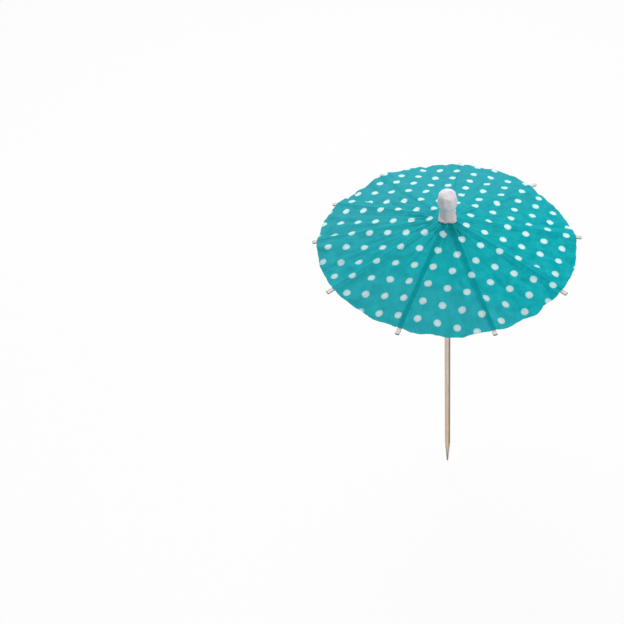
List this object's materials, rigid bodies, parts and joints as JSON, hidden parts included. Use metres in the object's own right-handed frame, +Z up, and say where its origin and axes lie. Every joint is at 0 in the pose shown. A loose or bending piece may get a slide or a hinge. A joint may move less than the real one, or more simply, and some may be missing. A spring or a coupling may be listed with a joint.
{
  "type": "cocktail umbrella pick",
  "caption": "Folding paper drink umbrella on a pointed wooden pick: card ribs and stretchers close the polka-dot canopy as the runner slides down.",
  "frame": {"origin": "on the pick's axis at the lower end of its round shank, where the turned point begins", "axes": "+Z up along the pick, towards the canopy; -Y towards the side the picture shows; rib 01 is 4 degrees from +X, and the ribs are numbered anticlockwise from above"},
  "size_m": [0.1031, 0.1004, 0.1574],
  "materials": {
    "birch_wood": "matte",
    "white_paper": "matte",
    "white_card": "matte",
    "newsprint": "matte",
    "clear_plastic": "gloss",
    "teal_paper": "matte"
  },
  "bodies": {
    "root": {"stick": "birch_wood", "finial_cap": "white_paper", "rib_collar": "white_card", "spacer_roll": "newsprint"},
    "runner": {"runner": "white_card"},
    "ring": {"retaining_ring": "clear_plastic"},
    "rib_01": {"rib_01": "white_card", "stretcher_tab_01": "white_card"},
    "stretcher_01": {"stretcher_01": "white_card"},
    "paper_left_01": {"paper_left_01": "teal_paper"},
    "paper_right_01": {"paper_right_01": "teal_paper"},
    "rib_02": {"rib_02": "white_card", "stretcher_tab_02": "white_card"},
    "stretcher_02": {"stretcher_02": "white_card"},
    "paper_left_02": {"paper_left_02": "teal_paper"},
    "paper_right_02": {"paper_right_02": "teal_paper"},
    "rib_03": {"rib_03": "white_card", "stretcher_tab_03": "white_card"},
    "stretcher_03": {"stretcher_03": "white_card"},
    "paper_left_03": {"paper_left_03": "teal_paper"},
    "paper_right_03": {"paper_right_03": "teal_paper"},
    "rib_04": {"rib_04": "white_card", "stretcher_tab_04": "white_card"},
    "stretcher_04": {"stretcher_04": "white_card"},
    "paper_left_04": {"paper_left_04": "teal_paper"},
    "paper_right_04": {"paper_right_04": "teal_paper"},
    "rib_05": {"rib_05": "white_card", "stretcher_tab_05": "white_card"},
    "stretcher_05": {"stretcher_05": "white_card"},
    "paper_left_05": {"paper_left_05": "teal_paper"},
    "paper_right_05": {"paper_right_05": "teal_paper"},
    "rib_06": {"rib_06": "white_card", "stretcher_tab_06": "white_card"},
    "stretcher_06": {"stretcher_06": "white_card"},
    "paper_left_06": {"paper_left_06": "teal_paper"},
    "paper_right_06": {"paper_right_06": "teal_paper"},
    "rib_07": {"rib_07": "white_card", "stretcher_tab_07": "white_card"},
    "stretcher_07": {"stretcher_07": "white_card"},
    "paper_left_07": {"paper_left_07": "teal_paper"},
    "paper_right_07": {"paper_right_07": "teal_paper"},
    "rib_08": {"rib_08": "white_card", "stretcher_tab_08": "white_card"},
    "stretcher_08": {"stretcher_08": "white_card"},
    "paper_left_08": {"paper_left_08": "teal_paper"},
    "paper_right_08": {"paper_right_08": "teal_paper"},
    "rib_09": {"rib_09": "white_card", "stretcher_tab_09": "white_card"},
    "stretcher_09": {"stretcher_09": "white_card"},
    "paper_left_09": {"paper_left_09": "teal_paper"},
    "paper_right_09": {"paper_right_09": "teal_paper"},
    "rib_10": {"rib_10": "white_card", "stretcher_tab_10": "white_card"},
    "stretcher_10": {"stretcher_10": "white_card"},
    "paper_left_10": {"paper_left_10": "teal_paper"},
    "paper_right_10": {"paper_right_10": "teal_paper"}
  },
  "joints": [
    {"name": "runner_slide", "type": "slide", "parent": "root", "child": "runner", "axis": [0, 0, -1], "range_m": [0, 0.03333]},
    {"name": "ring_slide", "type": "slide", "parent": "root", "child": "ring", "axis": [0, 0, -1], "range_m": [0, 0.03333]},
    {"name": "rib_fold_01", "type": "hinge", "parent": "root", "child": "rib_01", "pos_m": [0.00259, 0.00018, 0.1304], "axis": [-0.0698, 0.9976, 0], "range_deg": [0, 64]},
    {"name": "stretcher_fold_01", "type": "hinge", "parent": "rib_01", "child": "stretcher_01", "pos_m": [0.02477, 0.00173, 0.1245], "axis": [0.0698, -0.9976, 0], "range_deg": [0, 128]},
    {"name": "pleat_left_01", "type": "hinge", "parent": "rib_01", "child": "paper_left_01", "pos_m": [0.00278, 0.00019, 0.13114], "axis": [0.9679, 0.0677, -0.2419], "range_deg": [0, 63.08]},
    {"name": "pleat_right_01", "type": "hinge", "parent": "rib_01", "child": "paper_right_01", "pos_m": [0.00278, 0.00019, 0.13114], "axis": [-0.9679, -0.0677, 0.2419], "range_deg": [0, 66.24]},
    {"name": "rib_fold_02", "type": "hinge", "parent": "root", "child": "rib_02", "pos_m": [0.00181, 0.00187, 0.1304], "axis": [-0.7193, 0.6947, 0], "range_deg": [0, 64]},
    {"name": "stretcher_fold_02", "type": "hinge", "parent": "rib_02", "child": "stretcher_02", "pos_m": [0.01725, 0.01786, 0.1245], "axis": [0.7193, -0.6947, 0], "range_deg": [0, 128]},
    {"name": "pleat_left_02", "type": "hinge", "parent": "rib_02", "child": "paper_left_02", "pos_m": [0.00193, 0.002, 0.13114], "axis": [0.674, 0.698, -0.2419], "range_deg": [0, 62.18]},
    {"name": "pleat_right_02", "type": "hinge", "parent": "rib_02", "child": "paper_right_02", "pos_m": [0.00193, 0.002, 0.13114], "axis": [-0.674, -0.698, 0.2419], "range_deg": [0, 63.08]},
    {"name": "rib_fold_03", "type": "hinge", "parent": "root", "child": "rib_03", "pos_m": [0.00027, 0.00259, 0.1304], "axis": [-0.9945, 0.1045, 0], "range_deg": [0, 64]},
    {"name": "stretcher_fold_03", "type": "hinge", "parent": "rib_03", "child": "stretcher_03", "pos_m": [0.0026, 0.0247, 0.1245], "axis": [0.9945, -0.1045, 0], "range_deg": [0, 128]},
    {"name": "pleat_left_03", "type": "hinge", "parent": "rib_03", "child": "paper_left_03", "pos_m": [0.00029, 0.00277, 0.13114], "axis": [0.1014, 0.965, -0.2419], "range_deg": [0, 62.9]},
    {"name": "pleat_right_03", "type": "hinge", "parent": "rib_03", "child": "paper_right_03", "pos_m": [0.00029, 0.00277, 0.13114], "axis": [-0.1014, -0.965, 0.2419], "range_deg": [0, 62.18]},
    {"name": "rib_fold_04", "type": "hinge", "parent": "root", "child": "rib_04", "pos_m": [-0.00138, 0.0022, 0.1304], "axis": [-0.848, -0.5299, 0], "range_deg": [0, 64]},
    {"name": "stretcher_fold_04", "type": "hinge", "parent": "rib_04", "child": "stretcher_04", "pos_m": [-0.01316, 0.02106, 0.1245], "axis": [0.848, 0.5299, 0], "range_deg": [0, 128]},
    {"name": "pleat_left_04", "type": "hinge", "parent": "rib_04", "child": "paper_left_04", "pos_m": [-0.00148, 0.00236, 0.13114], "axis": [-0.5142, 0.8229, -0.2419], "range_deg": [0, 67.82]},
    {"name": "pleat_right_04", "type": "hinge", "parent": "rib_04", "child": "paper_right_04", "pos_m": [-0.00148, 0.00236, 0.13114], "axis": [0.5142, -0.8229, 0.2419], "range_deg": [0, 62.9]},
    {"name": "rib_fold_05", "type": "hinge", "parent": "root", "child": "rib_05", "pos_m": [-0.0023, 0.00122, 0.1304], "axis": [-0.4695, -0.8829, 0], "range_deg": [0, 64]},
    {"name": "stretcher_fold_05", "type": "hinge", "parent": "rib_05", "child": "stretcher_05", "pos_m": [-0.02193, 0.01166, 0.1245], "axis": [0.4695, 0.8829, 0], "range_deg": [0, 128]},
    {"name": "pleat_left_05", "type": "hinge", "parent": "rib_05", "child": "paper_left_05", "pos_m": [-0.00246, 0.00131, 0.13114], "axis": [-0.8567, 0.4555, -0.2419], "range_deg": [0, 68.78]},
    {"name": "pleat_right_05", "type": "hinge", "parent": "rib_05", "child": "paper_right_05", "pos_m": [-0.00246, 0.00131, 0.13114], "axis": [0.8567, -0.4555, 0.2419], "range_deg": [0, 67.82]},
    {"name": "rib_fold_06", "type": "hinge", "parent": "root", "child": "rib_06", "pos_m": [-0.0026, 0.00005, 0.1304], "axis": [-0.0175, -0.9998, 0], "range_deg": [0, 64]},
    {"name": "stretcher_fold_06", "type": "hinge", "parent": "rib_06", "child": "stretcher_06", "pos_m": [-0.02483, 0.00043, 0.1245], "axis": [0.0175, 0.9998, 0], "range_deg": [0, 128]},
    {"name": "pleat_left_06", "type": "hinge", "parent": "rib_06", "child": "paper_left_06", "pos_m": [-0.00278, 0.00005, 0.13114], "axis": [-0.9701, 0.0169, -0.2419], "range_deg": [0, 65.63]},
    {"name": "pleat_right_06", "type": "hinge", "parent": "rib_06", "child": "paper_right_06", "pos_m": [-0.00278, 0.00005, 0.13114], "axis": [0.9701, -0.0169, 0.2419], "range_deg": [0, 68.78]},
    {"name": "rib_fold_07", "type": "hinge", "parent": "root", "child": "rib_07", "pos_m": [-0.0022, -0.00138, 0.1304], "axis": [0.5299, -0.848, 0], "range_deg": [0, 64]},
    {"name": "stretcher_fold_07", "type": "hinge", "parent": "rib_07", "child": "stretcher_07", "pos_m": [-0.02106, -0.01316, 0.1245], "axis": [-0.5299, 0.848, 0], "range_deg": [0, 128]},
    {"name": "pleat_left_07", "type": "hinge", "parent": "rib_07", "child": "paper_left_07", "pos_m": [-0.00236, -0.00148, 0.13114], "axis": [-0.8229, -0.5142, -0.2419], "range_deg": [0, 64.7]},
    {"name": "pleat_right_07", "type": "hinge", "parent": "rib_07", "child": "paper_right_07", "pos_m": [-0.00236, -0.00148, 0.13114], "axis": [0.8229, 0.5142, 0.2419], "range_deg": [0, 65.63]},
    {"name": "rib_fold_08", "type": "hinge", "parent": "root", "child": "rib_08", "pos_m": [-0.00089, -0.00244, 0.1304], "axis": [0.9397, -0.342, 0], "range_deg": [0, 64]},
    {"name": "stretcher_fold_08", "type": "hinge", "parent": "rib_08", "child": "stretcher_08", "pos_m": [-0.00849, -0.02333, 0.1245], "axis": [-0.9397, 0.342, 0], "range_deg": [0, 128]},
    {"name": "pleat_left_08", "type": "hinge", "parent": "rib_08", "child": "paper_left_08", "pos_m": [-0.00095, -0.00262, 0.13114], "axis": [-0.3319, -0.9118, -0.2419], "range_deg": [0, 64.99]},
    {"name": "pleat_right_08", "type": "hinge", "parent": "rib_08", "child": "paper_right_08", "pos_m": [-0.00095, -0.00262, 0.13114], "axis": [0.3319, 0.9118, 0.2419], "range_deg": [0, 64.7]},
    {"name": "rib_fold_09", "type": "hinge", "parent": "root", "child": "rib_09", "pos_m": [0.00085, -0.00246, 0.1304], "axis": [0.9455, 0.3256, 0], "range_deg": [0, 64]},
    {"name": "stretcher_fold_09", "type": "hinge", "parent": "rib_09", "child": "stretcher_09", "pos_m": [0.00808, -0.02348, 0.1245], "axis": [-0.9455, -0.3256, 0], "range_deg": [0, 128]},
    {"name": "pleat_left_09", "type": "hinge", "parent": "rib_09", "child": "paper_left_09", "pos_m": [0.00091, -0.00263, 0.13114], "axis": [0.3159, -0.9174, -0.2419], "range_deg": [0, 65.42]},
    {"name": "pleat_right_09", "type": "hinge", "parent": "rib_09", "child": "paper_right_09", "pos_m": [0.00091, -0.00263, 0.13114], "axis": [-0.3159, 0.9174, 0.2419], "range_deg": [0, 64.99]},
    {"name": "rib_fold_10", "type": "hinge", "parent": "root", "child": "rib_10", "pos_m": [0.00218, -0.00142, 0.1304], "axis": [0.5446, 0.8387, 0], "range_deg": [0, 64]},
    {"name": "stretcher_fold_10", "type": "hinge", "parent": "rib_10", "child": "stretcher_10", "pos_m": [0.02083, -0.01352, 0.1245], "axis": [-0.5446, -0.8387, 0], "range_deg": [0, 128]},
    {"name": "pleat_left_10", "type": "hinge", "parent": "rib_10", "child": "paper_left_10", "pos_m": [0.00234, -0.00152, 0.13114], "axis": [0.8138, -0.5285, -0.2419], "range_deg": [0, 66.24]},
    {"name": "pleat_right_10", "type": "hinge", "parent": "rib_10", "child": "paper_right_10", "pos_m": [0.00234, -0.00152, 0.13114], "axis": [-0.8138, 0.5285, 0.2419], "range_deg": [0, 65.42]}
  ],
  "couplings": [
    {"joint": "ring_slide", "follows": "runner_slide", "ratio": 1},
    {"joint": "rib_fold_01", "follows": "runner_slide", "rad_per_m": 33.511},
    {"joint": "stretcher_fold_01", "follows": "runner_slide", "rad_per_m": 67.021},
    {"joint": "pleat_left_01", "follows": "runner_slide", "rad_per_m": 33.029},
    {"joint": "pleat_right_01", "follows": "runner_slide", "rad_per_m": 34.682},
    {"joint": "rib_fold_02", "follows": "runner_slide", "rad_per_m": 33.511},
    {"joint": "stretcher_fold_02", "follows": "runner_slide", "rad_per_m": 67.021},
    {"joint": "pleat_left_02", "follows": "runner_slide", "rad_per_m": 32.558},
    {"joint": "pleat_right_02", "follows": "runner_slide", "rad_per_m": 33.029},
    {"joint": "rib_fold_03", "follows": "runner_slide", "rad_per_m": 33.511},
    {"joint": "stretcher_fold_03", "follows": "runner_slide", "rad_per_m": 67.021},
    {"joint": "pleat_left_03", "follows": "runner_slide", "rad_per_m": 32.933},
    {"joint": "pleat_right_03", "follows": "runner_slide", "rad_per_m": 32.558},
    {"joint": "rib_fold_04", "follows": "runner_slide", "rad_per_m": 33.511},
    {"joint": "stretcher_fold_04", "follows": "runner_slide", "rad_per_m": 67.021},
    {"joint": "pleat_left_04", "follows": "runner_slide", "rad_per_m": 35.512},
    {"joint": "pleat_right_04", "follows": "runner_slide", "rad_per_m": 32.933},
    {"joint": "rib_fold_05", "follows": "runner_slide", "rad_per_m": 33.511},
    {"joint": "stretcher_fold_05", "follows": "runner_slide", "rad_per_m": 67.021},
    {"joint": "pleat_left_05", "follows": "runner_slide", "rad_per_m": 36.011},
    {"joint": "pleat_right_05", "follows": "runner_slide", "rad_per_m": 35.512},
    {"joint": "rib_fold_06", "follows": "runner_slide", "rad_per_m": 33.511},
    {"joint": "stretcher_fold_06", "follows": "runner_slide", "rad_per_m": 67.021},
    {"joint": "pleat_left_06", "follows": "runner_slide", "rad_per_m": 34.362},
    {"joint": "pleat_right_06", "follows": "runner_slide", "rad_per_m": 36.011},
    {"joint": "rib_fold_07", "follows": "runner_slide", "rad_per_m": 33.511},
    {"joint": "stretcher_fold_07", "follows": "runner_slide", "rad_per_m": 67.021},
    {"joint": "pleat_left_07", "follows": "runner_slide", "rad_per_m": 33.876},
    {"joint": "pleat_right_07", "follows": "runner_slide", "rad_per_m": 34.362},
    {"joint": "rib_fold_08", "follows": "runner_slide", "rad_per_m": 33.511},
    {"joint": "stretcher_fold_08", "follows": "runner_slide", "rad_per_m": 67.021},
    {"joint": "pleat_left_08", "follows": "runner_slide", "rad_per_m": 34.03},
    {"joint": "pleat_right_08", "follows": "runner_slide", "rad_per_m": 33.876},
    {"joint": "rib_fold_09", "follows": "runner_slide", "rad_per_m": 33.511},
    {"joint": "stretcher_fold_09", "follows": "runner_slide", "rad_per_m": 67.021},
    {"joint": "pleat_left_09", "follows": "runner_slide", "rad_per_m": 34.256},
    {"joint": "pleat_right_09", "follows": "runner_slide", "rad_per_m": 34.03},
    {"joint": "rib_fold_10", "follows": "runner_slide", "rad_per_m": 33.511},
    {"joint": "stretcher_fold_10", "follows": "runner_slide", "rad_per_m": 67.021},
    {"joint": "pleat_left_10", "follows": "runner_slide", "rad_per_m": 34.682},
    {"joint": "pleat_right_10", "follows": "runner_slide", "rad_per_m": 34.256}
  ]
}
